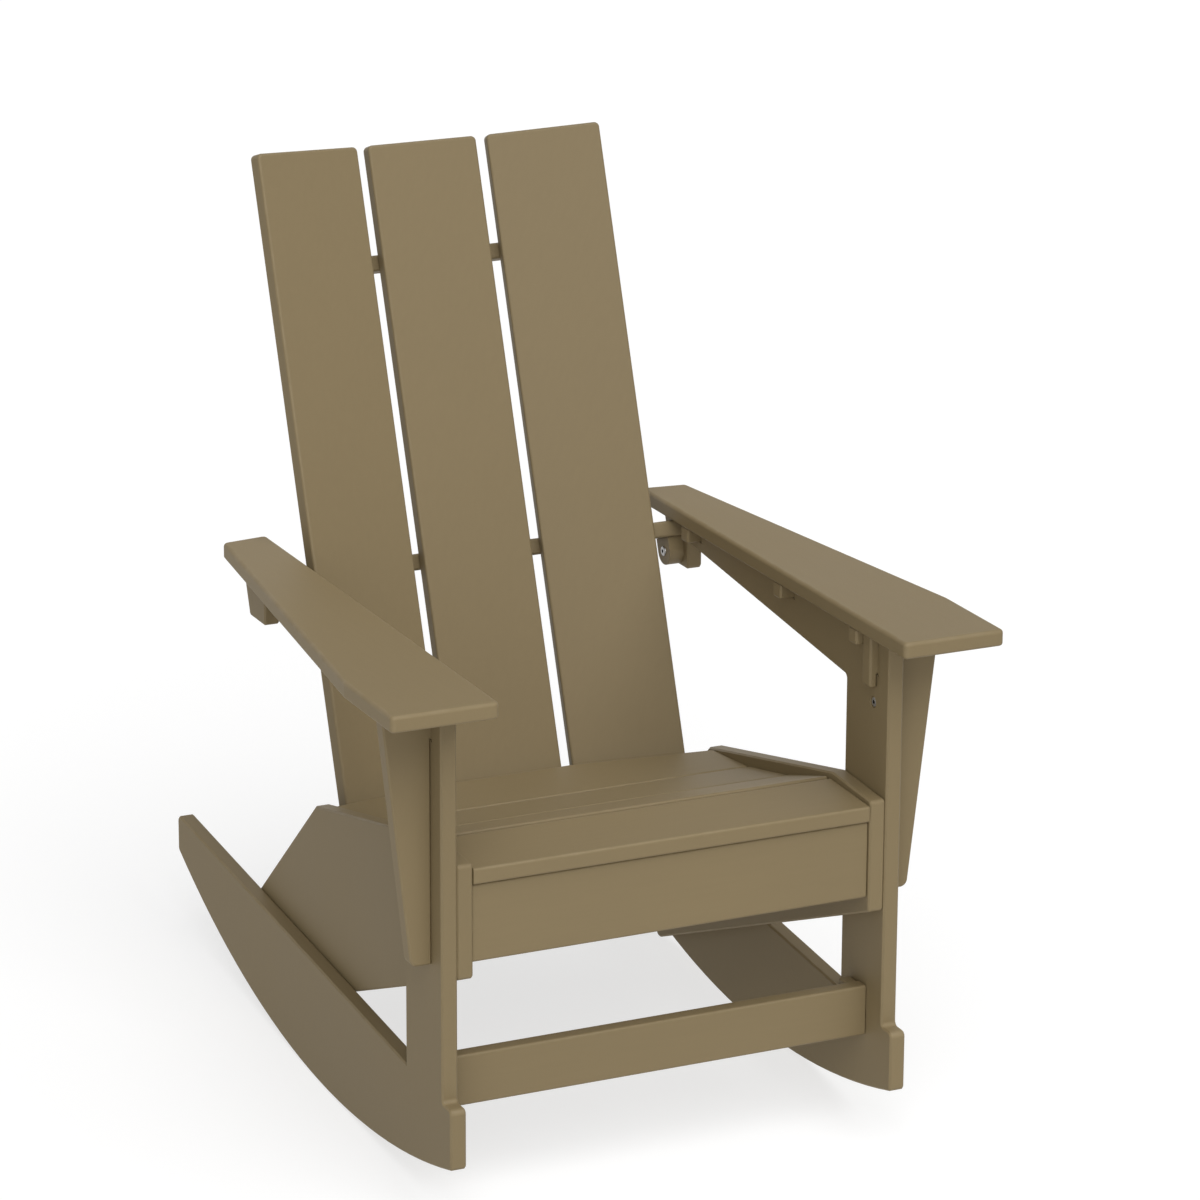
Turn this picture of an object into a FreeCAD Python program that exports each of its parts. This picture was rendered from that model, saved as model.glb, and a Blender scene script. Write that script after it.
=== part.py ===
import FreeCAD, Part
import math
import os
from FreeCAD import Vector, Rotation, Placement

os.makedirs("parts", exist_ok=True)

# Rocking adirondack chair of plastic lumber, millimetres.
# X runs across the chair, the chair faces -Y, Z is up from the floor.
# It is drawn with level arms and with Y = 0 at the front face of the legs. At the end it
# rolls back on its rockers to where the empty chair comes to rest, and every piece is
# moved by the same amount along Y, so that the origin lies under the middle of the chair.

# Boards
BOARD = 19.0            # thickness of every board and sheet-cut plate
EDGE_R = 3.0            # rounding along the edges of the slats
BEVEL = 2.0             # bevel around the faces of the cut plates
CORNER_R = 5.0          # rounding of the corners of a cut plate
FIT = 0.5               # gap left at the end of a board that sits between two plates

# Side frames: leg, toe, rocker and arm support cut as one plate
INSIDE_W = 520.0        # clear width between the two side frames
LEG_D = 100.0           # leg, front to back
ARM_UNDER = 571.0       # height of the underside of the arms
ROCKER_R = 1080.0       # radius of the rocker's running edge
ROCKER_MID = 278.0      # distance of the touching point behind the leg front
ROCKER_END = 806.0      # rear tip of the rocker behind the leg front
ROCKER_TOP_Z = 122.5    # rocker top edge where it meets the leg
ROCKER_TOP_SLOPE = 0.0855
REST_LEAN = 3.9         # degrees that the empty chair rolls back from level arms
TOE = 22.9              # how far the toe stands in front of the leg
TOE_TOP = 113.0         # height of the toe's step
SUPPORT_DEPTH = 70.5    # depth of the arm support where it meets the leg
SUPPORT_SLOPE = 0.1053
LOBE_DROP = 61.5        # depth of the rear lobe below the arm
LOBE_AHEAD = 25.5       # lobe in front of the bolt that holds the back
LOBE_BEHIND = 21.0      # lobe behind that bolt, at its lower edge

# Arms
ARM_FRONT = 70.5        # overhang in front of the leg
ARM_BACK = 596.0        # rear end, behind the leg front
ARM_OVER_OUT = 86.0     # overhang outside the side frame, front part
ARM_OVER_REAR = 18.0    # overhang outside the side frame at the rear end
ARM_OVER_IN = 19.0      # overhang inside the side frame
ARM_KNEE = 60.0         # where the outer edge starts to taper
ARM_EDGE_R = 4.5        # rounding along the upper edge of the arms
ARM_CORNER_R = 6.0
ARM_KNEE_R = 25.0
ARM_REAR_SLANT = 0.125  # how far the rear end runs forward towards its outer corner, per mm

# Tapered bracket outside each leg; its tongue drops into a notch in the leg and hooks
# over the inner face
BRACKET_Y = 26.0        # front face of the bracket behind the leg front
BRACKET_LOW_Z = 266.0   # height of its lower end
BRACKET_W_LOW = 24.5    # width at the lower end
BRACKET_W_TOP = 58.5    # width under the arm
TONGUE_H = 63.0         # height of the hook inside the leg
TONGUE_OUT = 10.0       # how far the hook stands out inside the leg
NECK_H = 48.0           # height of the part that lies in the notch

# Small bars under the arms, let into notches in the side frames
CLEAT_IN = 17.5         # end inside the side frame
CLEAT_OUT = 10.0        # end outside it
CLEAT_L = 19.0
CLEAT_H = 18.0
RELIEF_R = 1.8          # round relief that the router leaves in the corners of a notch
CLEAT_GAP = 1.0         # from the tongue to the front bar
CLEAT_MID_Y = 231.0
CLEAT_REAR_GAP = 21.5   # from the rear bar to the middle back rail

# Seat rails
RAIL_FRONT_Y = 1.0
RAIL_LOW_Z = 253.5      # lower front corner
RAIL_H = 131.0          # height of the front end and width of the rear end
RAIL_LOW_SLOPE = -0.408
RAIL_KNEE_Y = 94.3
RAIL_KNEE_RISE = 5.2
RAIL_TOP_SLOPE = -0.2203
RAIL_DIP_Y = 406.0      # where the upper edge turns down
RAIL_END_Y = 541.0      # rear lower corner

# Seat slats: widths and tilts from front to rear
SEAT_DROP = 5.5         # front edge of the seat below the front corner of the seat rails
SLAT1_W = 96.5
SLAT1_TILT = 1.9
KNEE_GAP = 7.0          # gap behind the front slat
SLAT_GAP = 5.0          # gap between the other slats
SLAT2_W = 99.0
SLAT2_TILT = -17.1
SLAT3_W = 98.0
SLAT3_TILT = -12.0
SLAT4_W = 119.0         # at the middle; the rear edge is cut back towards the sides
SLAT4_FOLLOW = 0.835    # slope of that cut as a share of the turn of the outer back slats
SLAT4_TILT = -5.5

# Apron and stretcher
APRON_Y = 5.0
APRON_H = 90.0
STRETCHER_Y = 36.0
STRETCHER_LOW_Z = 90.0
STRETCHER_H = 60.0

# Back: three slats lean by BACK_RAKE, the two outer ones are turned in by BACK_TURN
BACK_RAKE = 19.3
BACK_TURN = 11.5
SEAT_GAP = 26.6         # from the last seat slat to the middle back slat
BACK_UP = 738.0         # along the slat, from the seat to the top
BACK_DOWN = 85.0        # along the slat, from the seat to the lower end
BACK_GAP = 13.0         # between two back slats
BACK_SIDE_GAP = 24.8    # from the outer back slats to the planes of the seat rails
BACK_CORNER_R = 6.0
BACK_RAIL_D = 38.0      # front to back
RAIL_CLEAR = 1.2        # between the middle rail and the arms
UPPER_RAIL_UP = 592.5   # along the slat, from the seat to the upper rail
UPPER_RAIL_IN = 16.0    # its ends stop short of the slats' outer edges by this
LOWER_RAIL_DOWN = 70.0  # along the slat, from the seat down to the lower rail
TAB_W = 33.5            # round-ended tabs that bolt the back to the frame
TAB_DROP = 15.8         # from the rail down to the bolt
TAB_N = 9.8             # bolt behind the front face of the middle slat

# Battens and blocks that carry the seat, apron and stretcher
BATTEN_H = 34.0
BATTEN_SHORT = 10.0     # the batten ends this far before the last seat slat
BLOCK_W = 15.0
BLOCK_L = 22.0
BLOCK_H = 45.0
BLOCK_DROP = 2.0        # a block starts this far below the board in front of it

# Bolts
BOLT_HEAD_R = 5.9
BOLT_HEAD_H = 1.8
BOLT_R = 3.0
BOLT_BITE = 14.0        # length of the shank in the last plate
SOCKET = 4.0            # across the flats of the hexagon socket
SOCKET_DEPTH = 1.2
SLACK = 0.15            # radial clearance in the bolt holes
BRACKET_BOLT_DROP = 20.0    # from the hook down to the bolt of the bracket
SINK_R = 6.9                # counterbore that takes the head of that bolt
FRONT_BOLT_UP = 30.0    # bolts of the seat rail above its lower edge
REAR_BOLT_UP = 45.0
REAR_BOLT_IN = 50.0     # rear bolt in front of the rail's rear corner

# Derived places
SLAT1_Z = RAIL_LOW_Z + RAIL_H - SEAT_DROP
XI = INSIDE_W / 2.0
XO = XI + BOARD
XR = XI - BOARD
HALF = XR - FIT
ARM_IN = XI - ARM_OVER_IN
ARM_OUT = XO + ARM_OVER_OUT
ARM_OUT_BACK = XO + ARM_OVER_REAR
RAKE = math.radians(BACK_RAKE)
TURN = math.radians(BACK_TURN)
BACK_W = (XR - BACK_SIDE_GAP - BACK_GAP) / (0.5 + math.cos(TURN))
INNER = BACK_W / 2.0 + BACK_GAP


# Points and solids in a plane across X, Y or Z
def at(axis, level, p, q):
    if axis == "X":
        return Vector(level, p, q)
    if axis == "Y":
        return Vector(p, level, q)
    return Vector(p, q, level)


def split(axis, v):
    if axis == "X":
        return v.x, v.y, v.z
    if axis == "Y":
        return v.y, v.x, v.z
    return v.z, v.x, v.y


def slab(points, axis, level, thick):
    corners = [at(axis, level, p, q) for p, q in points]
    wire = Part.makePolygon(corners + [corners[0]])
    return Part.Face(wire).extrude(at(axis, thick, 0.0, 0.0))


def box(x0, x1, y0, y1, z0, z1):
    return Part.makeBox(x1 - x0, y1 - y0, z1 - z0, Vector(x0, y0, z0))


def rod(radius, length, start):
    return Part.makeCylinder(radius, length, start, Vector(1, 0, 0))


def mirrored(shape):
    return shape.mirror(Vector(0, 0, 0), Vector(1, 0, 0))


def solid_of(shape):
    return shape.Solids[0] if len(shape.Solids) == 1 else shape


# Roundings: edges that run along an axis, and edges around a face of a plate
def edges_along(shape, axis, spots=None):
    found = []
    for e in shape.Edges:
        if len(e.Vertexes) != 2:
            continue
        la, pa, qa = split(axis, e.Vertexes[0].Point)
        lb, pb, qb = split(axis, e.Vertexes[1].Point)
        if math.hypot(pa - pb, qa - qb) > 1e-3 or abs(la - lb) < 1e-3:
            continue
        if spots is None or any(math.hypot(pa - p, qa - q) < 0.02 for p, q in spots):
            found.append(e)
    return found


def rim_edges(shape, axis, level, wanted):
    found = []
    for e in shape.Edges:
        first, last = e.ParameterRange
        samples = [e.valueAt(first + (last - first) * k / 4.0) for k in range(5)]
        if all(abs(split(axis, v)[0] - level) < 1e-3 for v in samples) and wanted(samples[2]):
            found.append(e)
    return found


def round_corners(shape, axis, spots, radius):
    return shape.makeFillet(radius, edges_along(shape, axis, spots))


def rims(shape, axis, levels, wanted=lambda middle: True):
    edges = []
    for level in levels:
        edges = edges + rim_edges(shape, axis, level, wanted)
    return edges


def bevel_rims(shape, axis, levels, wanted=lambda middle: True):
    return shape.makeChamfer(BEVEL, rims(shape, axis, levels, wanted))


def board_across(x0, x1, y0, y1, z0, z1):
    s = box(x0, x1, y0, y1, z0, z1)
    return s.makeFillet(EDGE_R, edges_along(s, "X"))


def small_block(x0, x1, y0, y1, z0, z1):
    s = box(x0, x1, y0, y1, z0, z1)
    return s.makeChamfer(BEVEL, s.Edges)


# Seat line: front upper edge (Y, Z), width and tilt of each seat slat
def slat_places():
    y, z = 0.0, SLAT1_Z
    rows = []
    sizes = [(SLAT1_W, SLAT1_TILT, KNEE_GAP), (SLAT2_W, SLAT2_TILT, SLAT_GAP),
             (SLAT3_W, SLAT3_TILT, SLAT_GAP), (SLAT4_W, SLAT4_TILT, 0.0)]
    for width, tilt, gap in sizes:
        a = math.radians(tilt)
        rows.append((y, z, width, tilt))
        y = y + (width + gap) * math.cos(a)
        z = z + (width + gap) * math.sin(a)
    return rows


SLATS = slat_places()


def slat_point(k, along, up):
    y, z, width, tilt = SLATS[k]
    a = math.radians(tilt)
    return y + along * math.cos(a) - up * math.sin(a), z + along * math.sin(a) + up * math.cos(a)


# Back line: the front face of the middle slat passes SEAT_GAP behind the last seat slat.
# A back piece is drawn flat, with X across, Y through the board and Z along the slat.
SEAT_END_Y, BACK_Z = slat_point(3, SLAT4_W, 0.0)
BACK_Y = SEAT_END_Y + SEAT_GAP


def to_back(shape):
    s = shape.copy()
    lean = Placement(Vector(0, 0, 0), Rotation(Vector(1, 0, 0), -BACK_RAKE))
    move = Placement(Vector(0, BACK_Y, BACK_Z), Rotation())
    s.Placement = move.multiply(lean).multiply(s.Placement)
    return s


def back_point(x, n, s):
    y = BACK_Y + s * math.sin(RAKE) + n * math.cos(RAKE)
    z = BACK_Z + s * math.cos(RAKE) - n * math.sin(RAKE)
    return Vector(x, y, z)


# The front faces of the outer slats, and planes at a depth behind them
def bend(depth):
    return INNER + depth * math.tan(TURN / 2.0)


def turned_n(depth, x):
    return depth - (x - bend(depth)) * math.tan(TURN)


UPPER_RAIL_S = UPPER_RAIL_UP
LOWER_RAIL_S = -LOWER_RAIL_DOWN
MID_RAIL_TOP = ARM_UNDER - RAIL_CLEAR - BACK_Z + turned_n(BOARD, XI) * math.sin(RAKE)
MID_RAIL_S = MID_RAIL_TOP / math.cos(RAKE) - BOARD
UPPER_BOLT = back_point(0.0, TAB_N, MID_RAIL_S - TAB_DROP)
LOWER_BOLT = back_point(0.0, TAB_N, LOWER_RAIL_S - TAB_DROP)


# Everything on the right-hand side is drawn once and mirrored for the left
pieces = {}


# Side frame: leg, toe, rocker and arm support are one plate with a lobe at the rear
def rocker_z(y):
    return ROCKER_R - math.sqrt(ROCKER_R ** 2 - (y - ROCKER_MID) ** 2)


def notch(y, length, depth):
    low = ARM_UNDER - depth - FIT
    s = box(XI - 1.0, XO + 1.0, y - FIT, y + length + FIT, low, ARM_UNDER + 1.0)
    for corner in (y - FIT, y + length + FIT):
        angles = [math.radians(45 * k) for k in range(8)]
        ring = [(corner + RELIEF_R * math.cos(a), low + RELIEF_R * math.sin(a)) for a in angles]
        s = s.fuse(slab(ring, "X", XI - 1.0, BOARD + 2.0))
    return s


def side_frame():
    toe_low = (-TOE, rocker_z(-TOE))
    toe_top = (-TOE, TOE_TOP)
    end_low = (ROCKER_END, rocker_z(ROCKER_END))
    end_top = (ROCKER_END, ROCKER_TOP_Z + ROCKER_TOP_SLOPE * (ROCKER_END - LEG_D))
    lobe_low = ARM_UNDER - LOBE_DROP
    lobe_front = UPPER_BOLT.y - LOBE_AHEAD
    lobe_back = UPPER_BOLT.y + LOBE_BEHIND
    support_low = ARM_UNDER - SUPPORT_DEPTH
    support_end = support_low + SUPPORT_SLOPE * (lobe_front - LEG_D)
    line = [toe_low, toe_top, (0.0, TOE_TOP), (0.0, ARM_UNDER),
            (lobe_back + LOBE_DROP * math.tan(RAKE), ARM_UNDER),
            (lobe_back, lobe_low), (lobe_front, lobe_low), (lobe_front, support_end),
            (LEG_D, support_low), (LEG_D, ROCKER_TOP_Z), end_top, end_low]
    corners = [at("X", XI, y, z) for y, z in line]
    edges = [Part.makeLine(corners[k], corners[k + 1]) for k in range(len(corners) - 1)]
    edges.append(Part.Arc(corners[-1], Vector(XI, ROCKER_MID, 0.0), corners[0]).toShape())
    s = Part.Face(Part.Wire(edges)).extrude(Vector(BOARD, 0, 0))
    s = round_corners(s, "X", [toe_low, (LEG_D, support_low), (0.0, TOE_TOP)], CORNER_R)
    s = round_corners(s, "X", [(lobe_back, lobe_low), (lobe_front, lobe_low)], CORNER_R)
    s = round_corners(s, "X", [toe_top, end_low, end_top], CORNER_R + 2.0)
    s = bevel_rims(s, "X", [XI, XO])
    for cleat_y in CLEAT_YS:
        s = s.cut(notch(cleat_y, CLEAT_L, CLEAT_H))
    return s.cut(notch(BRACKET_Y, BOARD, NECK_H))


# Bars under the arm: behind the bracket, half way and in front of the middle back rail
BACK_RAIL_FRONT = back_point(0.0, turned_n(BOARD, XI), MID_RAIL_S).y
CLEAT_YS = [BRACKET_Y + BOARD + CLEAT_GAP, CLEAT_MID_Y, BACK_RAIL_FRONT - CLEAT_REAR_GAP - CLEAT_L]
for word, y in zip(["front", "middle", "rear"], CLEAT_YS):
    pieces["arm_cleat_" + word] = small_block(XI - CLEAT_IN, XO + CLEAT_OUT, y, y + CLEAT_L,
                                              ARM_UNDER - CLEAT_H, ARM_UNDER)
pieces["side_frame"] = side_frame()


# Arm: flat board, tapered towards the rear, wide rounding along the upper edge
def arm():
    rear_out = ARM_BACK - (ARM_OUT_BACK - ARM_IN) * ARM_REAR_SLANT
    ends = [(ARM_IN, -ARM_FRONT), (ARM_OUT, -ARM_FRONT), (ARM_OUT_BACK, rear_out), (ARM_IN, ARM_BACK)]
    s = slab([ends[0], ends[1], (ARM_OUT, ARM_KNEE), ends[2], ends[3]], "Z", ARM_UNDER, BOARD)
    s = round_corners(s, "Z", ends, ARM_CORNER_R)
    s = round_corners(s, "Z", [(ARM_OUT, ARM_KNEE)], ARM_KNEE_R)
    s = s.makeFillet(ARM_EDGE_R, rims(s, "Z", [ARM_UNDER + BOARD]))
    return bevel_rims(s, "Z", [ARM_UNDER])


pieces["arm"] = arm()


# Bracket outside the leg; its tongue passes through the notch and hooks over inside
def arm_bracket():
    tip = XI - TONGUE_OUT
    hook_low = ARM_UNDER - TONGUE_H
    neck_low = ARM_UNDER - NECK_H
    line = [(XO, BRACKET_LOW_Z), (XO + BRACKET_W_LOW, BRACKET_LOW_Z), (XO + BRACKET_W_TOP, ARM_UNDER),
            (tip, ARM_UNDER), (tip, hook_low), (XI - FIT, hook_low), (XI - FIT, neck_low), (XO, neck_low)]
    s = slab(line, "Y", BRACKET_Y, BOARD)
    s = round_corners(s, "Y", [line[1]], CORNER_R + 4.0)
    s = round_corners(s, "Y", [line[4]], CORNER_R - 1.0)
    return bevel_rims(s, "Y", [BRACKET_Y, BRACKET_Y + BOARD])


pieces["arm_bracket"] = arm_bracket()

# Seat rail: sloping plate from the leg down to the rear of the rocker
def rail_low(y):
    return RAIL_LOW_Z + RAIL_LOW_SLOPE * (y - RAIL_FRONT_Y)


def seat_rail():
    top = RAIL_LOW_Z + RAIL_H
    knee = top + RAIL_KNEE_RISE
    unit = math.hypot(1.0, RAIL_LOW_SLOPE)
    low_end = (RAIL_END_Y, rail_low(RAIL_END_Y))
    up_end = (low_end[0] - RAIL_H * RAIL_LOW_SLOPE / unit, low_end[1] + RAIL_H / unit)
    dip = (RAIL_DIP_Y, knee + RAIL_TOP_SLOPE * (RAIL_DIP_Y - RAIL_KNEE_Y))
    line = [(RAIL_FRONT_Y, RAIL_LOW_Z), (RAIL_FRONT_Y, top), (RAIL_KNEE_Y, knee), dip, up_end, low_end]
    s = slab(line, "X", XR, BOARD)
    s = round_corners(s, "X", [line[0], line[1]], CORNER_R)
    s = round_corners(s, "X", [up_end, low_end], CORNER_R + 3.0)
    return bevel_rims(s, "X", [XR, XI])


pieces["seat_rail"] = seat_rail()


# Seat slats: flat front slat, three more that follow the dished seat
def seat_slat(k):
    y, z, width, tilt = SLATS[k]
    if k < 3:
        s = board_across(-HALF, HALF, 0.0, width, -BOARD, 0.0)
    else:
        side = width - (HALF - INNER) * math.tan(TURN) * SLAT4_FOLLOW
        plan = [(-HALF, 0.0), (HALF, 0.0), (HALF, side), (INNER, width), (-INNER, width), (-HALF, side)]
        s = slab(plan, "Z", -BOARD, BOARD)
        s = s.makeFillet(EDGE_R, rims(s, "Z", [-BOARD, 0.0], lambda middle: abs(middle.x) < HALF - 0.1))
    s.rotate(Vector(0, 0, 0), Vector(1, 0, 0), tilt)
    s.translate(Vector(0, y, z))
    return s


# Apron under the front slat, stretcher low between the legs
APRON_TOP = SLAT1_Z - BOARD - FIT
apron = board_across(-HALF, HALF, APRON_Y, APRON_Y + BOARD, APRON_TOP - APRON_H, APRON_TOP)
stretcher = board_across(FIT - XI, XI - FIT, STRETCHER_Y, STRETCHER_Y + BOARD,
                         STRETCHER_LOW_Z, STRETCHER_LOW_Z + STRETCHER_H)


# Back slats; the lower ends are plain saw cuts
def back_slat():
    s = box(0.0, BACK_W, 0.0, BOARD, -BACK_DOWN, BACK_UP)
    s = round_corners(s, "Y", [(0.0, BACK_UP), (BACK_W, BACK_UP)], BACK_CORNER_R)
    return bevel_rims(s, "Y", [0.0, BOARD], lambda middle: middle.z > 0.1 - BACK_DOWN)


def turned_slat():
    s = back_slat()
    s.rotate(Vector(0, 0, 0), Vector(0, 0, 1), -BACK_TURN)
    s.translate(Vector(INNER, 0, 0))
    return s


# Back rails: flat boards whose front edge follows the three slats
def back_rail(low, half):
    near = BOARD
    far = BOARD + BACK_RAIL_D
    right = [(bend(near), near), (half, turned_n(near, half)), (half, turned_n(far, half)), (bend(far), far)]
    left = [(-x, n) for x, n in reversed(right)]
    s = slab(right + left, "Z", low, BOARD)
    return bevel_rims(s, "Z", [low, low + BOARD], lambda middle: abs(middle.x) < half - 0.1)


UPPER_HALF = INNER + BACK_W * math.cos(TURN) - UPPER_RAIL_IN
RAILS = [("upper", UPPER_RAIL_S, UPPER_HALF), ("middle", MID_RAIL_S, XI - FIT), ("lower", LOWER_RAIL_S, HALF)]


# Tab: round-ended plate under the end of a rail, bolted to the frame
def tab(x, rail_s):
    s0 = rail_s - TAB_DROP
    r = TAB_W / 2.0
    front, rear = TAB_N - r, TAB_N + r
    end = Part.Arc(Vector(x, front, s0), Vector(x, TAB_N, s0 - r), Vector(x, rear, s0)).toShape()
    corners = [Vector(x, rear, s0), Vector(x, rear, rail_s), Vector(x, front, rail_s), Vector(x, front, s0)]
    sides = [Part.makeLine(corners[k], corners[k + 1]) for k in range(3)]
    s = Part.Face(Part.Wire([end] + sides)).extrude(Vector(BOARD, 0, 0))
    return to_back(s)


pieces["back_tab"] = tab(XR, MID_RAIL_S)
pieces["lower_back_tab"] = tab(XR - BOARD, LOWER_RAIL_S)


# Batten under the seat slats, against the inner face of the seat rail
def batten():
    first = APRON_Y + BOARD + BLOCK_L + FIT
    start = (first - slat_point(0, 0, -BOARD)[0]) / math.cos(math.radians(SLAT1_TILT))
    side = SLAT4_W - (HALF - INNER) * math.tan(TURN) * SLAT4_FOLLOW
    top = [slat_point(0, start, -BOARD), slat_point(0, SLAT1_W - 3.0, -BOARD),
           slat_point(1, 3.0, -BOARD), slat_point(1, SLAT2_W, -BOARD),
           slat_point(2, 0.0, -BOARD), slat_point(2, SLAT3_W, -BOARD),
           slat_point(3, 0.0, -BOARD), slat_point(3, side - BATTEN_SHORT, -BOARD)]
    low = [(y, z - BATTEN_H) for y, z in reversed(top)]
    return slab(top + low, "X", XR - BOARD, BOARD)


pieces["seat_batten"] = batten()

# Corner blocks behind the ends of the apron and of the stretcher
block_y = APRON_Y + BOARD
block_top = APRON_TOP - BLOCK_DROP
pieces["apron_block"] = small_block(XR - BLOCK_W, XR, block_y, block_y + BLOCK_L,
                                    block_top - BLOCK_H, block_top)
block_y = STRETCHER_Y + BOARD
block_top = STRETCHER_LOW_Z + STRETCHER_H - BLOCK_DROP
pieces["stretcher_block"] = small_block(XI - BLOCK_W, XI, block_y, block_y + BLOCK_L,
                                        block_top - BLOCK_H, block_top)


# Bolts: button head with a hexagon socket, shank along +X, head against the plate at x
def bolt(x, y, z, length):
    head = rod(BOLT_HEAD_R, BOLT_HEAD_H, Vector(x - BOLT_HEAD_H, y, z))
    r = SOCKET / math.sqrt(3.0)
    angles = [math.radians(60 * k) for k in range(6)]
    hexagon = [(y + r * math.cos(a), z + r * math.sin(a)) for a in angles]
    socket = slab(hexagon, "X", x - BOLT_HEAD_H - 1.0, SOCKET_DEPTH + 1.0)
    return solid_of(head.fuse(rod(BOLT_R, length, Vector(x, y, z))).cut(socket).removeSplitter())


# Every bolt: (x under the head, y, z, plates it passes)
rail_bolt_y = RAIL_END_Y - REAR_BOLT_IN
BOLTS = {
    "back_bolts": [
        (XR, UPPER_BOLT.y, UPPER_BOLT.z, ["back_tab", "side_frame"]),
        (XR - BOARD, LOWER_BOLT.y, LOWER_BOLT.z, ["lower_back_tab", "seat_rail"])],
    "bracket_bolts": [
        (XI + BOLT_HEAD_H, BRACKET_Y + BOARD / 2.0, ARM_UNDER - TONGUE_H - BRACKET_BOLT_DROP,
         ["side_frame", "arm_bracket"])],
    "seat_rail_bolts": [
        (XR, LEG_D / 2.0, RAIL_LOW_Z + FRONT_BOLT_UP, ["seat_rail", "side_frame"]),
        (XR, rail_bolt_y, rail_low(rail_bolt_y) + REAR_BOLT_UP, ["seat_rail", "side_frame"])],
}

nodes = {}
for name, rows in BOLTS.items():
    solids = []
    for x, y, z, plates in rows:
        length = BOARD * (len(plates) - 1) + BOLT_BITE
        solids.append(bolt(x, y, z, length))
        hole = rod(BOLT_R + SLACK, length + 1.0, Vector(x, y, z))
        for target in plates:
            pieces[target] = pieces[target].cut(hole)
        if name == "bracket_bolts":
            sink = rod(SINK_R, BOLT_HEAD_H + 1.0, Vector(XI - 1.0, y, z))
            pieces["side_frame"] = pieces["side_frame"].cut(sink)
    nodes[name] = Part.makeCompound(solids + [mirrored(s) for s in solids])

for name, shape in pieces.items():
    nodes["right_" + name] = shape
    nodes["left_" + name] = mirrored(shape)

for k in range(4):
    nodes["seat_slat_%d" % (k + 1)] = seat_slat(k)
nodes["apron"] = apron
nodes["stretcher"] = stretcher

for word, low, half in RAILS:
    nodes[word + "_back_rail"] = to_back(back_rail(low, half))
middle_slat = back_slat()
middle_slat.translate(Vector(-BACK_W / 2.0, 0, 0))
nodes["middle_back_slat"] = to_back(middle_slat)
nodes["right_back_slat"] = to_back(turned_slat())
nodes["left_back_slat"] = mirrored(nodes["right_back_slat"])

# The empty chair rolls back until its centre of mass is over the touching point; the
# origin then lies on the floor under the middle of the chair
rested = {}
for name, shape in nodes.items():
    s = solid_of(shape.copy())
    s.rotate(Vector(0, ROCKER_MID, ROCKER_R), Vector(1, 0, 0), -REST_LEAN)
    rested[name] = s
extent = Part.makeCompound(list(rested.values())).optimalBoundingBox(False, False)
middle_y = (extent.YMin + extent.YMax) / 2.0
for name, s in rested.items():
    s.translate(Vector(0, -middle_y, 0))
    s.exportStep("parts/" + name + ".step")
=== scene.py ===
import math

import bmesh
import bpy
from mathutils import Matrix, Vector
from mathutils.bvhtree import BVHTree


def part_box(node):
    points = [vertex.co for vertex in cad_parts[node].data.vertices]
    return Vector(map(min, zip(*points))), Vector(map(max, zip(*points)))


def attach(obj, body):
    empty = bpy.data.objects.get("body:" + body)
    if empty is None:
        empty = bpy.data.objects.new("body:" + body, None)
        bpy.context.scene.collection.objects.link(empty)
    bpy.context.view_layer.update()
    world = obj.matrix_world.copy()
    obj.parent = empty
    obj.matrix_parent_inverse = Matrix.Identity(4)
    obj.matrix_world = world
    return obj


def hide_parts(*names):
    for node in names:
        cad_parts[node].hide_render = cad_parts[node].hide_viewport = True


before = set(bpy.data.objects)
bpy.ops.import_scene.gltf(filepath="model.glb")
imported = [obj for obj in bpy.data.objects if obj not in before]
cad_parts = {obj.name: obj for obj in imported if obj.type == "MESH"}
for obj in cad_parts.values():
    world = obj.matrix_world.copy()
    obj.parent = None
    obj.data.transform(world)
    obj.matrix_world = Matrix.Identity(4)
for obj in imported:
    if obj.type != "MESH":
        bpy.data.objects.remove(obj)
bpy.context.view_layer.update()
scene = bpy.context.scene

# Camera
# The camera was solved on the chair standing with level arms, which is how the chair is
# drawn. REST rolls that drawing back on its rockers to where the empty chair comes to
# rest, and takes the camera along, so that it sees the chair as it was pictured.
REST_LEAN = math.radians(3.9)
ROCKER_RADIUS = 1.080
TOUCHING_POINT = 0.278
DRAWING_MIDDLE = 0.3195396
CAMERA_AZIMUTH = math.radians(-25.169)
CAMERA_ELEVATION = math.radians(17.463)
CAMERA_ROLL = math.radians(0.289)
CAMERA_PLACE = Vector((-2.365662, -4.837182, 2.344103))
CAMERA_REACH = 100.0
SENSOR = 36.0
LENS = 157.32

ROCKER_CENTRE = Vector((0.0, TOUCHING_POINT, ROCKER_RADIUS))
REST = (Matrix.Translation((0.0, -DRAWING_MIDDLE, 0.0)) @ Matrix.Translation(ROCKER_CENTRE)
        @ Matrix.Rotation(-REST_LEAN, 4, "X") @ Matrix.Translation(-ROCKER_CENTRE))


def camera_axes(azimuth, elevation, roll):
    """Turns a camera to look at the chair from this side and height."""
    back = Vector((math.sin(azimuth) * math.cos(elevation),
                   -math.cos(azimuth) * math.cos(elevation),
                   math.sin(elevation)))
    level = (-back).cross(Vector((0.0, 0.0, 1.0))).normalized()
    above = level.cross(-back)
    right = math.cos(roll) * level + math.sin(roll) * above
    up = math.cos(roll) * above - math.sin(roll) * level
    return Matrix((right, up, back)).transposed().to_4x4()


camera = bpy.data.objects.new("camera", bpy.data.cameras.new("camera"))
camera.data.sensor_width = SENSOR
camera.data.lens = LENS
camera.data.clip_end = CAMERA_REACH
camera.matrix_world = (REST @ Matrix.Translation(CAMERA_PLACE)
                       @ camera_axes(CAMERA_AZIMUTH, CAMERA_ELEVATION, CAMERA_ROLL))
scene.collection.objects.link(camera)
scene.camera = camera
scene.view_settings.view_transform = "Standard"

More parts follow.
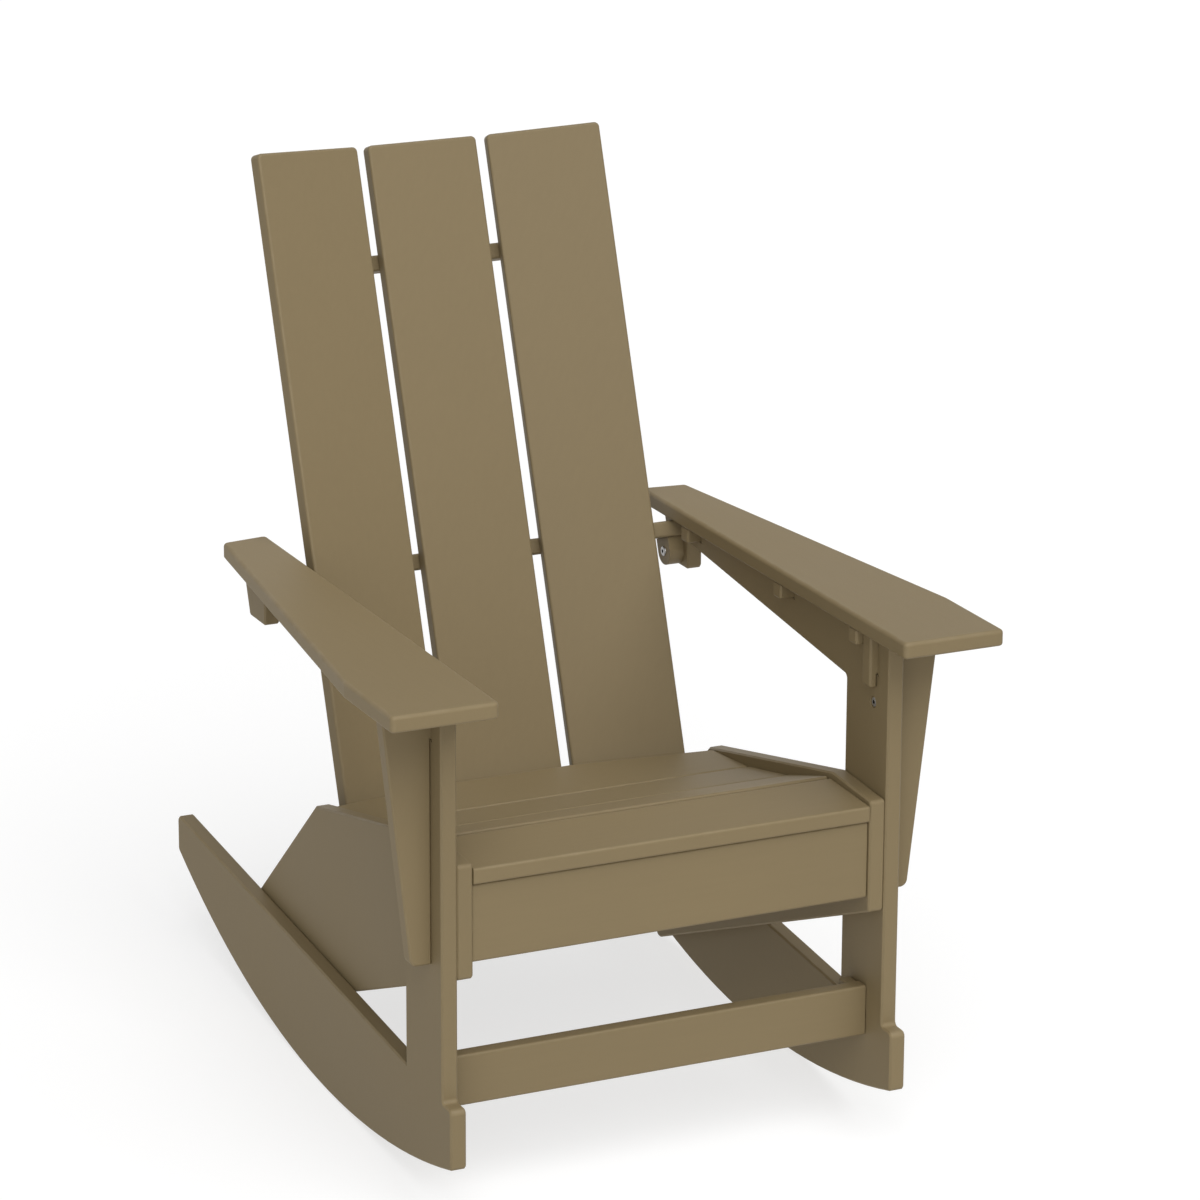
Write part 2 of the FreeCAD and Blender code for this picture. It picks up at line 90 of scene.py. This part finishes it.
# Studio
# A plain floor, lifted further towards white for the camera, fills the picture behind the
# chair and keeps its soft shadow. One wide soft lamp shines from above and in front, one
# from low in front on the left, and the pale room fills in the rest.
WHITE = (1.0, 1.0, 1.0, 1.0)
FLOOR_GREY = (0.35, 0.35, 0.35, 1.0)
FLOOR_HALF = 14.0
FLOOR_ROUGH = 0.9
FLOOR_LIFT = 0.51
FLOOR_LIFT_SEEN = 0.70
ROOM_LIGHT = 0.12
ROOM_SEEN = 1.0
LAMP_SPREAD = math.radians(60.0)
LAMPS = {"lamp_above": {"stands": (0.05, -0.46, 0.88), "strength": 2.54},
         "lamp_in_front": {"stands": (-0.56, -0.79, 0.25), "strength": 1.15}}


class Field:
    """A value or colour in a shader; sums and products of fields add their own nodes."""

    def __init__(self, tree, socket=None):
        self.tree = tree
        self.socket = socket

    def node(self, kind, settings=None, inputs=None, output=0):
        """Adds a node. A socket is called by name, or by number where names repeat."""
        made = self.tree.nodes.new("ShaderNode" + kind)
        for name, value in (settings or {}).items():
            setattr(made, name, value)
        for name, value in (inputs or {}).items():
            if isinstance(value, Field):
                self.tree.links.new(value.socket, made.inputs[name])
            else:
                made.inputs[name].default_value = value
        return Field(self.tree, None if output is None else made.outputs[output])

    def maths(self, operation, a, b):
        return self.node("Math", {"operation": operation}, {0: a, 1: b})

    def __add__(self, other):
        return self.maths("ADD", self, other)

    def __radd__(self, other):
        return self.maths("ADD", other, self)

    def __sub__(self, other):
        return self.maths("SUBTRACT", self, other)

    def __rsub__(self, other):
        return self.maths("SUBTRACT", other, self)

    def __mul__(self, other):
        return self.maths("MULTIPLY", self, other)

    def __rmul__(self, other):
        return self.maths("MULTIPLY", other, self)

    def or_else(self, other):
        """The larger of the two."""
        return self.maths("MAXIMUM", self, other)

    def swing(self):
        """A noise from 0 to 1, as a change either way from nothing."""
        return self - 0.5

    def clear_of(self, low, high):
        """0 below low, 1 above high, smooth in between."""
        return self.node("MapRange", {"interpolation_type": "SMOOTHSTEP"},
                         {"Value": self, "From Min": low, "From Max": high})

    def between(self, first, second):
        """The colour that lies this far from the first colour to the second."""
        return self.node("Mix", {"data_type": "RGBA"}, {0: self, 6: first, 7: second}, 2)

    def dimmed(self, colour):
        """The colour times this value."""
        return self.node("VectorMath", {"operation": "SCALE"}, {0: colour, "Scale": self})


floor_mesh = bpy.data.meshes.new("floor")
bm = bmesh.new()
bmesh.ops.create_grid(bm, x_segments=1, y_segments=1, size=FLOOR_HALF)
bm.to_mesh(floor_mesh)
bm.free()
floor = bpy.data.objects.new("floor", floor_mesh)
scene.collection.objects.link(floor)
floor_paint = bpy.data.materials.new("floor_paint")
floor_paint.use_nodes = True
floor_paint.node_tree.nodes.clear()
paint = Field(floor_paint.node_tree)
floor_look = {"Base Color": FLOOR_GREY, "Roughness": FLOOR_ROUGH,
              "Specular IOR Level": 0.0, "Emission Color": WHITE}
lit_floor, seen_floor = [
    paint.node("BsdfPrincipled", None, {**floor_look, "Emission Strength": lift})
    for lift in (FLOOR_LIFT, FLOOR_LIFT_SEEN)]
seen = paint.node("LightPath", output="Is Camera Ray")
floor_mix = paint.node("MixShader", None, {0: seen, 1: lit_floor, 2: seen_floor})
paint.node("OutputMaterial", None, {"Surface": floor_mix}, None)
floor_mesh.materials.append(floor_paint)

world = bpy.data.worlds.new("room")
world.use_nodes = True
world.node_tree.nodes.clear()
scene.world = world
room = Field(world.node_tree)
camera_ray, glossy_ray, through_ray = [
    room.node("LightPath", output=ray)
    for ray in ("Is Camera Ray", "Is Glossy Ray", "Is Transmission Ray")]
white_seen = camera_ray.or_else(glossy_ray).or_else(through_ray)
room_light, white_wall = [
    room.node("Background", None, {"Color": WHITE, "Strength": strength})
    for strength in (ROOM_LIGHT, ROOM_SEEN)]
walls = room.node("MixShader", None, {0: white_seen, 1: room_light, 2: white_wall})
room.node("OutputWorld", None, {"Surface": walls}, None)

for name, lamp_look in LAMPS.items():
    lamp = bpy.data.objects.new(name, bpy.data.lights.new(name, "SUN"))
    lamp.data.energy = lamp_look["strength"]
    lamp.data.angle = LAMP_SPREAD
    lamp.rotation_mode = "QUATERNION"
    lamp.rotation_quaternion = Vector(lamp_look["stands"]).to_track_quat("Z", "Y")
    scene.collection.objects.link(lamp)

# Side frames
# Each is one plate with leg, toe, rocker and arm support, cut from a sheet of plastic
# lumber 19 mm thick. The cut edges are routed round, and the seat rails, the tabs of the
# back, the brackets and the arms are bolted or screwed to it.
TAN = (0.205, 0.155, 0.080, 1.0)
WORN_TAN = (0.266, 0.208, 0.122, 1.0)
CLOUD = {"Scale": 5.0, "Detail": 2.0}
STREAK = {"Scale": 170.0, "Detail": 3.0}
GRIT = {"Scale": 700.0, "Detail": 3.0}
SCUFF = {"Scale": 45.0, "Detail": 5.0}
SCUFF_FROM = 0.35
SCUFF_TO = 0.70
CLOUD_TONE = 0.07
GRIT_TONE = 0.05
RUBBED_PALE = 0.13
LUMBER_ROUGH = 0.58
GRIT_ROUGH = 0.14
CLOUD_ROUGH = 0.10
RUBBED_SMOOTH = 0.08
LUMBER_GLOSS = 0.3
GRIT_HEIGHT = 0.6
STREAK_HEIGHT = 0.8
SCUFF_HEIGHT = 0.4
LUMBER_BUMP = {"Strength": 0.35, "Distance": 0.0003}


def finish_with(material, colour, rough, bump):
    """Leads the colour, roughness and bump to the material's own shader, and returns that."""
    shader = material.node_tree.nodes["Principled BSDF"]
    for name, field in (("Base Color", colour), ("Roughness", rough), ("Normal", bump)):
        material.node_tree.links.new(field.socket, shader.inputs[name])
    return shader


def lumber(name, turn=(0.0, 0.0, 0.0), stretch=12.0, streaks=0.05):
    """Plastic lumber. Its run lies along X after the turn; streaks follow it."""
    material = bpy.data.materials.new(name)
    material.use_nodes = True
    field = Field(material.node_tree)
    place = field.node("TexCoord", output="Object")
    run = field.node("Mapping", {"vector_type": "TEXTURE"},
                     {"Vector": place, "Rotation": turn, "Scale": (stretch, 1.0, 1.0)})
    edge_wear_and_socket_shade = field.node("Attribute", {"attribute_name": "edge_wear_and_socket_shade"}, output="Fac")
    tone_and_painted_light = field.node("Attribute", {"attribute_name": "tone_and_painted_light"}, output="Fac")
    cloud = field.node("TexNoise", None, {"Vector": place, **CLOUD})
    streak = field.node("TexNoise", None, {"Vector": run, **STREAK})
    grit = field.node("TexNoise", None, {"Vector": place, **GRIT})
    scuff = field.node("TexNoise", None, {"Vector": place, **SCUFF})
    rubbed = edge_wear_and_socket_shade * scuff.clear_of(SCUFF_FROM, SCUFF_TO)
    # Each piece is made a little lighter or darker as a whole: its own tone, and painted light
    # and shade.
    value = (1.0 + CLOUD_TONE * cloud.swing() + streaks * streak.swing()
             + GRIT_TONE * grit.swing() + tone_and_painted_light)
    colour = value.dimmed((RUBBED_PALE * rubbed).between(TAN, WORN_TAN))
    rough = (LUMBER_ROUGH + GRIT_ROUGH * grit.swing() + CLOUD_ROUGH * cloud.swing()
             - RUBBED_SMOOTH * rubbed)
    height = GRIT_HEIGHT * grit + STREAK_HEIGHT * streaks * streak + SCUFF_HEIGHT * scuff
    bump = field.node("Bump", None, {"Height": height, **LUMBER_BUMP})
    shader = finish_with(material, colour, rough, bump)
    shader.inputs["Specular IOR Level"].default_value = LUMBER_GLOSS
    return material


SAME_PLACE = 0.00001
NO_LENGTH = 0.000001
SAME_PLANE = math.radians(0.5)
CORNER = math.radians(30.0)
ONE_ROUND = 0.6
SOFT = 0.0012
SOFT_STEPS = 2
NARROW = 0.0045


def soften_normals(bm, mesh):
    """Shades the narrow faces at an edge as a round between the wide faces beside it."""
    normals = []
    weighted = {face: face.normal * face.calc_area() for face in bm.faces}
    for face in bm.faces:
        for corner in face.loops:
            total = Vector()
            for other in corner.vert.link_faces:
                if face.normal.dot(other.normal) > ONE_ROUND:
                    total += weighted[other]
            normals.append(total.normalized())
    bm.to_mesh(mesh)
    mesh.normals_split_custom_set(normals)


def width_of(face):
    """About how wide a long face is."""
    return 2.0 * face.calc_area() / face.calc_perimeter()


def dressed(node, material, tone_and_painted_light):
    """The CAD board with its corners broken a little more, its edges marked, in its finish."""
    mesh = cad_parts[node].data.copy()
    mesh.name = node + "_board"
    mesh.materials.clear()
    mesh.materials.append(material)
    bm = bmesh.new()
    bm.from_mesh(mesh)
    bmesh.ops.remove_doubles(bm, verts=bm.verts, dist=SAME_PLACE)
    bmesh.ops.dissolve_limit(bm, angle_limit=SAME_PLANE, verts=bm.verts, edges=bm.edges)
    bm.normal_update()
    corners = [e for e in bm.edges if e.is_manifold and e.calc_face_angle_signed() > CORNER]
    bmesh.ops.bevel(bm, geom=corners, offset=SOFT, offset_type="OFFSET", affect="EDGES",
                    segments=SOFT_STEPS, profile=0.5, material=-1, clamp_overlap=True)
    bmesh.ops.remove_doubles(bm, verts=bm.verts, dist=SAME_PLACE)
    bmesh.ops.dissolve_degenerate(bm, dist=NO_LENGTH, edges=bm.edges)
    bm.normal_update()
    # On the boards this layer marks worn edges; the bolts use the same layer for painted shade
    # in their sockets.
    edge_wear_and_socket_shade = bm.verts.layers.float.new("edge_wear_and_socket_shade")
    # The board's brightness shift goes on every corner: its own tone, and painted light and
    # shade.
    level = bm.verts.layers.float.new("tone_and_painted_light")
    for vert in bm.verts:
        vert[level] = tone_and_painted_light
        vert[edge_wear_and_socket_shade] = 1.0 if max(width_of(f) for f in vert.link_faces) < NARROW else 0.0
    for face in bm.faces:
        face.smooth = True
        face.material_index = 0
    soften_normals(bm, mesh)
    bm.free()
    board = bpy.data.objects.new(mesh.name, mesh)
    scene.collection.objects.link(board)
    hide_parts(node)
    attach(board, "root")


sheet = lumber("lumber_sheet", turn=(0.0, math.radians(-80.0), 0.0), stretch=5.0, streaks=0.03)
# The left frame is painted a little darker and the right a little lighter: painted shade and
# painted light.
dressed("left_side_frame", sheet, tone_and_painted_light=-0.02)
dressed("right_side_frame", sheet, tone_and_painted_light=0.02)

# Arm brackets
# A tapered plate outside each leg, cut from the same sheet. Its tongue passes through a
# notch in the leg and stands out inside, and a bolt below the tongue holds it.
# Both brackets are painted lighter, the left more: painted light where the arms shade them.
dressed("left_arm_bracket", sheet, tone_and_painted_light=0.025)
dressed("right_arm_bracket", sheet, tone_and_painted_light=0.006)

# Arms
# Wide flat boards of plastic lumber, tapered towards the rear and routed round along the
# top edge. They lie on the side frames and brackets, and screws from below hold them.
along_arm = lumber("lumber_arm", turn=(0.0, 0.0, math.radians(90.0)))
# The left arm is painted lighter than the right: painted light and painted shade.
dressed("left_arm", along_arm, tone_and_painted_light=0.035)
dressed("right_arm", along_arm, tone_and_painted_light=-0.004)

# Arm cleats
# Three small bars of plastic lumber under each arm, let into notches in the top of the
# side frame. Screws go up through their ends into the arm.
for side in ("left", "right"):
    for place in ("front", "middle", "rear"):
        dressed(side + "_arm_cleat_" + place, along_arm, tone_and_painted_light=-0.01)

# Seat rails
# Sloping plates cut from the sheet, flat against the inner faces of the side frames. Two
# bolts hold each of them, and the whole seat hangs on the pair.
# The left rail is painted a little darker and the right a little lighter: painted shade and
# painted light.
dressed("left_seat_rail", sheet, tone_and_painted_light=-0.02)
dressed("right_seat_rail", sheet, tone_and_painted_light=0.02)

# Seat battens
# Strips of plastic lumber under the ends of the slats, cut to follow the dished seat.
# They are screwed to the inner faces of the seat rails.
dressed("left_seat_batten", sheet, tone_and_painted_light=-0.008)
dressed("right_seat_batten", sheet, tone_and_painted_light=0.004)

# Seat slats
# Four boards of plastic lumber with rounded edges lie across the seat. The last is cut
# back towards the sides, and all are screwed from below through the battens.
across = lumber("lumber_across")
# The front slat is painted lighter and the slats behind it darker: painted light and painted
# shade.
for number, tone_and_painted_light in ((1, 0.03), (2, -0.008), (3, -0.02), (4, -0.01)):
    dressed("seat_slat_%d" % number, across, tone_and_painted_light)

# Apron and stretcher
# Two boards of plastic lumber: the apron closes the front of the seat, and the stretcher
# ties the legs together below. A small block, screwed to the seat rail or to the side
# frame, stands behind each end of both.
dressed("apron", across, tone_and_painted_light=0.005)
dressed("stretcher", across, tone_and_painted_light=-0.003)
for side in ("left", "right"):
    dressed(side + "_apron_block", across, tone_and_painted_light=-0.01)
    dressed(side + "_stretcher_block", across, tone_and_painted_light=0.0)

# Back slats
# Three tall boards of plastic lumber with rounded edges, the outer two turned in a little.
# They stand in front of the back rails, and are screwed to them from behind.
upright = lumber("lumber_upright", turn=(0.0, math.radians(-70.0), 0.0))
# The back slats are painted darker, more so towards the right: painted shade.
for side, tone_and_painted_light in (("left", -0.03), ("middle", -0.055), ("right", -0.08)):
    dressed(side + "_back_slat", upright, tone_and_painted_light)

# Back rails
# Three flat boards of plastic lumber behind the slats, whose front edges are cut to follow
# them. The ends of the middle and lower ones lie on the tabs.
for place, tone_and_painted_light in (("upper", 0.0), ("middle", -0.006), ("lower", 0.004)):
    dressed(place + "_back_rail", across, tone_and_painted_light)

# Tabs
# Round-ended plates cut from the sheet, under the ends of the middle and lower back rails.
# They are bolted to the side frames and to the seat rails, and so hold the back.
for side in ("left", "right"):
    dressed(side + "_back_tab", sheet, tone_and_painted_light=-0.004)
    dressed(side + "_lower_back_tab", sheet, tone_and_painted_light=0.004)

# Bolts
# Stainless button heads with a hexagon socket. On each side one bolt holds the back to the
# side frame and one to the seat rail, two hold the seat rail, and one, dull and sunk in a
# bore, holds the bracket. That one's head is painted darker: a duller finish, and painted
# shade from the bore.
CAD_HEAD = 0.0018
BOLT_HEAD = {"radius": 0.0059, "height": CAD_HEAD, "socket": 0.0042, "deep": 0.0026,
             "shank": 0.0030, "length": 0.033}
SUNK_HEAD = {**BOLT_HEAD, "radius": 0.0054, "height": 0.0010}
HEAD_DOME = ((1.0, 0.45), (0.95, 0.75), (0.84, 0.95), (0.70, 1.0))
HEAD_STEPS = 36
SOCKET_HOLE = 0.60
SOCKET_LIP = 0.00015
SHANK_TIP = 0.0003
NEARLY = 0.99
CREASE = math.radians(35.0)
STEEL_GREY = (0.47, 0.465, 0.46)
BRUSHING = {"Scale": 1500.0, "Detail": 3.0}
PATCH = {"Scale": 260.0, "Detail": 2.0}
BRUSHING_TONE = 0.20
PATCH_TONE = 0.25
# Painted shade: how much darker the walls and floor of a socket are painted.
SOCKET_SHADE_DARK = 0.92
STEEL_ROUGH = 0.46
BRUSHING_ROUGH = 0.22
PALE_SMOOTH = 0.25
SOCKET_ROUGH = 0.30
STEEL_BUMP = {"Strength": 0.3, "Distance": 0.00005}


def satin_steel():
    """Brushed stainless steel, with painted shade darkening the walls and floor of a socket."""
    material = bpy.data.materials.new("satin_steel")
    material.use_nodes = True
    field = Field(material.node_tree)
    place = field.node("TexCoord", output="Object")
    # A bolt is made a little lighter or darker as a whole: its own finish, and painted shade.
    tone_and_painted_light = field.node("Attribute", {"attribute_name": "tone_and_painted_light"}, output="Fac")
    # Painted shade in a socket, read from the layer that marks worn edges on the boards.
    socket_shade = field.node("Attribute", {"attribute_name": "edge_wear_and_socket_shade"}, output="Fac")
    brushing = field.node("TexNoise", None, {"Vector": place, **BRUSHING})
    patch = field.node("TexNoise", None, {"Vector": place, **PATCH})
    bright = 1.0 + BRUSHING_TONE * brushing.swing() + PATCH_TONE * patch.swing() + tone_and_painted_light
    colour = (bright * (1.0 - SOCKET_SHADE_DARK * socket_shade)).dimmed(STEEL_GREY)
    rough = (STEEL_ROUGH + BRUSHING_ROUGH * brushing.swing() - PALE_SMOOTH * tone_and_painted_light
             + SOCKET_ROUGH * socket_shade)
    bump = field.node("Bump", None, {"Height": brushing, **STEEL_BUMP})
    shader = finish_with(material, colour, rough, bump)
    shader.inputs["Metallic"].default_value = 1.0
    return material


stainless = satin_steel()


def turned_head(radius, height, socket, deep, shank, length):
    """A bolt along Z: its plate at z = 0, its domed head above, a hexagon sunk in the head."""
    bm = bmesh.new()
    socket_shade = bm.verts.layers.float.new("edge_wear_and_socket_shade")
    hole = SOCKET_HOLE * socket
    outline = [(shank - SHANK_TIP, -length), (shank, SHANK_TIP - length), (shank, 0.0),
               (radius, 0.0)]
    outline += [(out * radius, up * height) for out, up in HEAD_DOME] + [(hole, height)]
    chain = [bm.verts.new((r, 0.0, z)) for r, z in outline]
    lines = [bm.edges.new(pair) for pair in zip(chain, chain[1:])]
    bmesh.ops.spin(bm, geom=chain + lines, axis=(0.0, 0.0, 1.0), cent=(0.0, 0.0, 0.0),
                   steps=HEAD_STEPS, angle=math.tau, use_merge=True)
    ring = {v for v in bm.verts
            if v.co.z > NEARLY * height and NEARLY * v.co.xy.length < hole}
    for vert in ring:
        off_flat = math.atan2(vert.co.y, vert.co.x) % (math.pi / 3) - math.pi / 6
        vert.co.xy = vert.co.xy.normalized() * 0.5 * socket / math.cos(off_flat)
    rim = [e for e in bm.edges if e.is_boundary and e.verts[0] in ring and e.verts[1] in ring]
    dark = []
    for step in (SOCKET_LIP, deep):
        walls = bmesh.ops.extrude_edge_only(bm, edges=rim)["geom"]
        rim = [g for g in walls if isinstance(g, bmesh.types.BMEdge) and g.is_boundary]
        lower = [g for g in walls if isinstance(g, bmesh.types.BMVert)]
        bmesh.ops.translate(bm, verts=lower, vec=(0.0, 0.0, -step))
        dark += lower
    bmesh.ops.holes_fill(bm, edges=[e for e in bm.edges if e.is_boundary], sides=0)
    bmesh.ops.recalc_face_normals(bm, faces=bm.faces)
    # The walls and floor of the socket are marked for painted shade.
    for vert in dark:
        vert[socket_shade] = 1.0
    for face in bm.faces:
        face.smooth = True
    for edge in bm.edges:
        edge.smooth = edge.calc_face_angle(0.0) < CREASE
    mesh = bpy.data.meshes.new("head")
    bm.to_mesh(mesh)
    bm.free()
    return mesh


def fasteners(name, head, places, tone_and_painted_light):
    """One piece with a copy of the head at each place, given as a point and the way out."""
    bm = bmesh.new()
    level = bm.verts.layers.float.new("tone_and_painted_light")
    for point, out in places:
        start = len(bm.verts)
        bm.from_mesh(head)
        bm.verts.ensure_lookup_table()
        turn = out.to_track_quat("Z", "Y").to_matrix().to_4x4()
        bmesh.ops.transform(bm, matrix=Matrix.Translation(point) @ turn, verts=bm.verts[start:])
    for vert in bm.verts:
        vert[level] = tone_and_painted_light
    mesh = bpy.data.meshes.new(name)
    bm.to_mesh(mesh)
    bm.free()
    mesh.materials.append(stainless)
    piece = bpy.data.objects.new(name, mesh)
    scene.collection.objects.link(piece)
    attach(piece, "root")
    return piece


def bolt_places(node):
    """Where each bolt of a CAD group seats on its plate, and the way its head faces."""
    bm = bmesh.new()
    bm.from_mesh(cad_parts[node].data)
    bmesh.ops.remove_doubles(bm, verts=bm.verts, dist=SAME_PLACE)
    places = []
    left = set(bm.verts)
    while left:
        reached = [left.pop()]
        for vert in reached:
            near = [e.other_vert(vert) for e in vert.link_edges]
            fresh = [v for v in near if v in left]
            left.difference_update(fresh)
            reached += fresh
        low = Vector([min(v.co[k] for v in reached) for k in range(3)])
        high = Vector([max(v.co[k] for v in reached) for k in range(3)])
        seat = (low + high) / 2.0
        side = 1.0 if seat.x > 0.0 else -1.0
        seat.x = side * (min(abs(low.x), abs(high.x)) + CAD_HEAD)
        places.append((seat, Vector((-side, 0.0, 0.0))))
    bm.free()
    return places


button = turned_head(**BOLT_HEAD)
sunk = turned_head(**SUNK_HEAD)
# The bracket bolts are painted much darker: partly a duller finish, partly painted shade from
# the bore they sit in.
for node, head, tone_and_painted_light in (("back_bolts", button, 0.0), ("seat_rail_bolts", button, -0.05),
                         ("bracket_bolts", sunk, -0.35)):
    bolts = fasteners(node + "_turned", head, bolt_places(node), tone_and_painted_light)
    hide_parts(node)

# Small screws
# Stainless pan heads, drawn in a little, that hold slats, battens, blocks and the bars
# under the arms. None of them shows from the front, because they go in from below, from
# inside and from behind.
SCREW_HEAD = {"radius": 0.0040, "height": 0.0016, "socket": 0.0030, "deep": 0.0018,
              "shank": 0.0018, "length": 0.016}
SCREW_TONE = -0.10
DRAWN_IN = 0.0009
SLAT_SHARES = (0.25, 0.65)
BATTEN_END = 0.012
BATTEN_SHARES = (0.12, 0.50, 0.88)
BATTEN_HEIGHT = 0.017
BAR_END = 0.009
BLOCK_LIFTS = (-0.012, 0.012)
SLAT_OFFSETS = (-0.035, 0.035)
BEHIND_RAIL = 0.2
BACK_RAKE = math.radians(19.3)
BACK_LEAN = BACK_RAKE + REST_LEAN
UP = Vector((0.0, 0.0, 1.0))
FORWARD = Vector((0.0, -math.cos(BACK_LEAN), math.sin(BACK_LEAN)))


def middle_of(node):
    low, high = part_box(node)
    return (low + high) / 2.0


def landing(node, start, way):
    """Where a screw that comes from start is drawn into the board, and the way it faces."""
    bm = bmesh.new()
    bm.from_mesh(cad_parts[node].data)
    point = BVHTree.FromBMesh(bm).ray_cast(Vector(start), way)[0]
    bm.free()
    return point + DRAWN_IN * way, -way


pan = turned_head(**SCREW_HEAD)
seat_screws, batten_screws, cleat_screws, block_screws, back_screws = [], [], [], [], []
for side, sign in (("left", -1.0), ("right", 1.0)):
    outward = Vector((sign, 0.0, 0.0))
    batten = side + "_seat_batten"
    low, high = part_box(batten)
    under = middle_of(batten).x
    for number in (1, 2, 3, 4):
        front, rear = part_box("seat_slat_%d" % number)
        for share in SLAT_SHARES:
            y = max(front.lerp(rear, share).y, low.y + BATTEN_END)
            seat_screws.append(landing(batten, (under, y, 0.0), UP))
    for share in BATTEN_SHARES:
        y = low.lerp(high, share).y
        z = landing(batten, (under, y, 0.0), UP)[0].z + BATTEN_HEIGHT
        batten_screws.append(landing(batten, (0.0, y, z), outward))
    for place in ("front", "middle", "rear"):
        cleat = side + "_arm_cleat_" + place
        low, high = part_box(cleat)
        for x in (low.x + BAR_END, high.x - BAR_END):
            cleat_screws.append(landing(cleat, (x, middle_of(cleat).y, 0.0), UP))
    for block in (side + "_apron_block", side + "_stretcher_block"):
        middle = middle_of(block)
        for lift in BLOCK_LIFTS:
            block_screws.append(landing(block, (0.0, middle.y, middle.z + lift), outward))
for rail in ("upper_back_rail", "middle_back_rail", "lower_back_rail"):
    for slat in ("left_back_slat", "middle_back_slat", "right_back_slat"):
        for offset in SLAT_OFFSETS:
            start = middle_of(rail) - BEHIND_RAIL * FORWARD
            start.x = middle_of(slat).x + offset
            back_screws.append(landing(rail, start, FORWARD))
for name, places in (("seat_slat_screws", seat_screws), ("seat_batten_screws", batten_screws),
                     ("arm_cleat_screws", cleat_screws), ("block_screws", block_screws),
                     ("back_slat_screws", back_screws)):
    fasteners(name, pan, places, SCREW_TONE)
